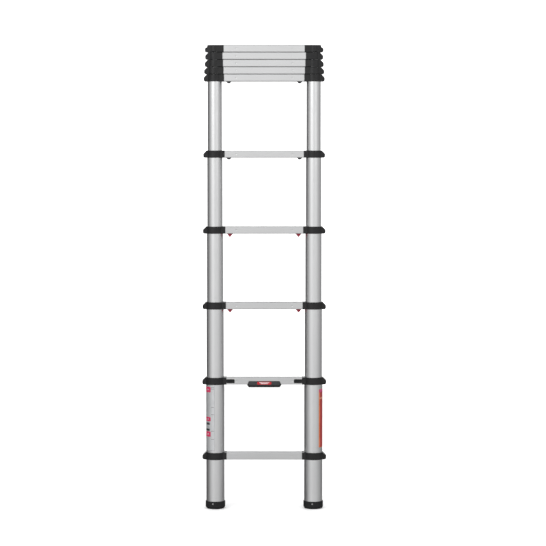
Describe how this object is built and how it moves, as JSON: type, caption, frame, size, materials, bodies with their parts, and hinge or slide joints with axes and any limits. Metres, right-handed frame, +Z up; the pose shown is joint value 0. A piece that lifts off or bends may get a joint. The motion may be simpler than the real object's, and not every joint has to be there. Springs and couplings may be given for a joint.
{
  "type": "telescoping ladder",
  "caption": "Straight telescoping ladder of nested aluminium tubes with flat rungs, black corner collars, release triggers and rubber feet, partly extended.",
  "frame": {"origin": "on the floor, midway between the two feet", "axes": "+Z up along the stiles, +X to the right seen from the front, front faces -Y"},
  "size_m": [0.49, 0.08, 1.828],
  "materials": {
    "aluminium": "satin",
    "collar_plastic": "matte",
    "grip_plastic": "matte",
    "foot_rubber": "matte",
    "red_plastic": "satin",
    "grey_plastic": "matte",
    "steel": "satin"
  },
  "bodies": {
    "base": {"tubes_1": "aluminium", "rung_1": "aluminium", "collars_1": "collar_plastic", "rung_2": "aluminium", "collars_2": "collar_plastic", "grip": "grip_plastic", "foot_left": "foot_rubber", "foot_right": "foot_rubber", "foot_rivets": "steel"},
    "section_2": {"tubes_2": "aluminium", "rung_3": "aluminium", "collars_3": "collar_plastic"},
    "section_3": {"tubes_3": "aluminium", "rung_4": "aluminium", "collars_4": "collar_plastic"},
    "section_4": {"tubes_4": "aluminium", "rung_5": "aluminium", "collars_5": "collar_plastic"},
    "section_5": {"tubes_5": "aluminium", "rung_6": "aluminium", "collars_6": "collar_plastic"},
    "section_6": {"tubes_6": "aluminium", "rung_7": "aluminium", "collars_7": "collar_plastic"},
    "section_7": {"tubes_7": "aluminium", "rung_8": "aluminium", "collars_8": "collar_plastic"},
    "section_8": {"tubes_8": "aluminium", "rung_9": "aluminium", "collars_9": "collar_plastic"},
    "section_9": {"tubes_9": "aluminium", "rung_10": "aluminium", "collars_10": "collar_plastic"},
    "button_left": {"button_left": "collar_plastic", "pin_left_2": "steel"},
    "button_right": {"button_right": "collar_plastic", "pin_right_2": "steel"},
    "triggers_3": {"triggers_3": "red_plastic"},
    "pin_left_3": {"pin_left_3": "steel"},
    "pin_right_3": {"pin_right_3": "steel"},
    "triggers_4": {"triggers_4": "red_plastic"},
    "pin_left_4": {"pin_left_4": "steel"},
    "pin_right_4": {"pin_right_4": "steel"},
    "triggers_5": {"triggers_5": "grey_plastic"},
    "pin_left_5": {"pin_left_5": "steel"},
    "pin_right_5": {"pin_right_5": "steel"},
    "triggers_6": {"triggers_6": "grey_plastic"},
    "pin_left_6": {"pin_left_6": "steel"},
    "pin_right_6": {"pin_right_6": "steel"},
    "triggers_7": {"triggers_7": "grey_plastic"},
    "pin_left_7": {"pin_left_7": "steel"},
    "pin_right_7": {"pin_right_7": "steel"},
    "triggers_8": {"triggers_8": "grey_plastic"},
    "pin_left_8": {"pin_left_8": "steel"},
    "pin_right_8": {"pin_right_8": "steel"},
    "triggers_9": {"triggers_9": "grey_plastic"},
    "pin_left_9": {"pin_left_9": "steel"},
    "pin_right_9": {"pin_right_9": "steel"}
  },
  "joints": [
    {"name": "section_2_slide", "type": "slide", "parent": "base", "child": "section_2", "axis": [0, 0, 1], "range_m": [-0.2695, 0]},
    {"name": "section_3_slide", "type": "slide", "parent": "section_2", "child": "section_3", "axis": [0, 0, 1], "range_m": [-0.2695, 0]},
    {"name": "section_4_slide", "type": "slide", "parent": "section_3", "child": "section_4", "axis": [0, 0, 1], "range_m": [-0.2695, 0]},
    {"name": "section_5_slide", "type": "slide", "parent": "section_4", "child": "section_5", "axis": [0, 0, 1], "range_m": [-0.2695, 0]},
    {"name": "section_6_slide", "type": "slide", "parent": "section_5", "child": "section_6", "axis": [0, 0, 1], "range_m": [0, 0.2695]},
    {"name": "section_7_slide", "type": "slide", "parent": "section_6", "child": "section_7", "axis": [0, 0, 1], "range_m": [0, 0.2695]},
    {"name": "section_8_slide", "type": "slide", "parent": "section_7", "child": "section_8", "axis": [0, 0, 1], "range_m": [0, 0.2695]},
    {"name": "section_9_slide", "type": "slide", "parent": "section_8", "child": "section_9", "axis": [0, 0, 1], "range_m": [0, 0.2695]},
    {"name": "button_left_slide", "type": "slide", "parent": "base", "child": "button_left", "axis": [1, 0, 0], "range_m": [0, 0.008], "stiffness_N_per_m": 400, "springref_m": -0.004},
    {"name": "button_right_slide", "type": "slide", "parent": "base", "child": "button_right", "axis": [-1, 0, 0], "range_m": [0, 0.008], "stiffness_N_per_m": 400, "springref_m": -0.004},
    {"name": "triggers_3_slide", "type": "slide", "parent": "section_2", "child": "triggers_3", "axis": [0, 0, 1], "range_m": [0, 0.013]},
    {"name": "pin_left_3_slide", "type": "slide", "parent": "section_2", "child": "pin_left_3", "axis": [1, 0, 0], "range_m": [0, 0.008]},
    {"name": "pin_right_3_slide", "type": "slide", "parent": "section_2", "child": "pin_right_3", "axis": [-1, 0, 0], "range_m": [0, 0.008]},
    {"name": "triggers_4_slide", "type": "slide", "parent": "section_3", "child": "triggers_4", "axis": [0, 0, 1], "range_m": [0, 0.013]},
    {"name": "pin_left_4_slide", "type": "slide", "parent": "section_3", "child": "pin_left_4", "axis": [1, 0, 0], "range_m": [0, 0.008]},
    {"name": "pin_right_4_slide", "type": "slide", "parent": "section_3", "child": "pin_right_4", "axis": [-1, 0, 0], "range_m": [0, 0.008]},
    {"name": "triggers_5_slide", "type": "slide", "parent": "section_4", "child": "triggers_5", "axis": [0, 0, 1], "range_m": [0, 0.007]},
    {"name": "pin_left_5_slide", "type": "slide", "parent": "section_4", "child": "pin_left_5", "axis": [1, 0, 0], "range_m": [0, 0.008]},
    {"name": "pin_right_5_slide", "type": "slide", "parent": "section_4", "child": "pin_right_5", "axis": [-1, 0, 0], "range_m": [0, 0.008]},
    {"name": "triggers_6_slide", "type": "slide", "parent": "section_5", "child": "triggers_6", "axis": [0, 0, 1], "range_m": [0, 0.007]},
    {"name": "pin_left_6_slide", "type": "slide", "parent": "section_5", "child": "pin_left_6", "axis": [1, 0, 0], "range_m": [0, 0.008]},
    {"name": "pin_right_6_slide", "type": "slide", "parent": "section_5", "child": "pin_right_6", "axis": [-1, 0, 0], "range_m": [0, 0.008]},
    {"name": "triggers_7_slide", "type": "slide", "parent": "section_6", "child": "triggers_7", "axis": [0, 0, 1], "range_m": [-0.007, 0]},
    {"name": "pin_left_7_slide", "type": "slide", "parent": "section_6", "child": "pin_left_7", "axis": [1, 0, 0], "range_m": [-0.008, 0]},
    {"name": "pin_right_7_slide", "type": "slide", "parent": "section_6", "child": "pin_right_7", "axis": [-1, 0, 0], "range_m": [-0.008, 0]},
    {"name": "triggers_8_slide", "type": "slide", "parent": "section_7", "child": "triggers_8", "axis": [0, 0, 1], "range_m": [-0.007, 0]},
    {"name": "pin_left_8_slide", "type": "slide", "parent": "section_7", "child": "pin_left_8", "axis": [1, 0, 0], "range_m": [-0.008, 0]},
    {"name": "pin_right_8_slide", "type": "slide", "parent": "section_7", "child": "pin_right_8", "axis": [-1, 0, 0], "range_m": [-0.008, 0]},
    {"name": "triggers_9_slide", "type": "slide", "parent": "section_8", "child": "triggers_9", "axis": [0, 0, 1], "range_m": [-0.007, 0]},
    {"name": "pin_left_9_slide", "type": "slide", "parent": "section_8", "child": "pin_left_9", "axis": [1, 0, 0], "range_m": [-0.008, 0]},
    {"name": "pin_right_9_slide", "type": "slide", "parent": "section_8", "child": "pin_right_9", "axis": [-1, 0, 0], "range_m": [-0.008, 0]}
  ],
  "couplings": [
    {"joint": "triggers_3_slide", "follows": "section_2_slide", "ratio": -0.048237},
    {"joint": "pin_left_3_slide", "follows": "section_2_slide", "ratio": -0.029684},
    {"joint": "pin_right_3_slide", "follows": "section_2_slide", "ratio": -0.029684},
    {"joint": "triggers_4_slide", "follows": "section_3_slide", "ratio": -0.048237},
    {"joint": "pin_left_4_slide", "follows": "section_3_slide", "ratio": -0.029684},
    {"joint": "pin_right_4_slide", "follows": "section_3_slide", "ratio": -0.029684},
    {"joint": "triggers_5_slide", "follows": "section_4_slide", "ratio": -0.025974},
    {"joint": "pin_left_5_slide", "follows": "section_4_slide", "ratio": -0.029684},
    {"joint": "pin_right_5_slide", "follows": "section_4_slide", "ratio": -0.029684},
    {"joint": "triggers_6_slide", "follows": "section_5_slide", "ratio": -0.025974},
    {"joint": "pin_left_6_slide", "follows": "section_5_slide", "ratio": -0.029684},
    {"joint": "pin_right_6_slide", "follows": "section_5_slide", "ratio": -0.029684},
    {"joint": "triggers_7_slide", "follows": "section_6_slide", "ratio": -0.025974},
    {"joint": "pin_left_7_slide", "follows": "section_6_slide", "ratio": -0.029684},
    {"joint": "pin_right_7_slide", "follows": "section_6_slide", "ratio": -0.029684},
    {"joint": "triggers_8_slide", "follows": "section_7_slide", "ratio": -0.025974},
    {"joint": "pin_left_8_slide", "follows": "section_7_slide", "ratio": -0.029684},
    {"joint": "pin_right_8_slide", "follows": "section_7_slide", "ratio": -0.029684},
    {"joint": "triggers_9_slide", "follows": "section_8_slide", "ratio": -0.025974},
    {"joint": "pin_left_9_slide", "follows": "section_8_slide", "ratio": -0.029684},
    {"joint": "pin_right_9_slide", "follows": "section_8_slide", "ratio": -0.029684}
  ]
}
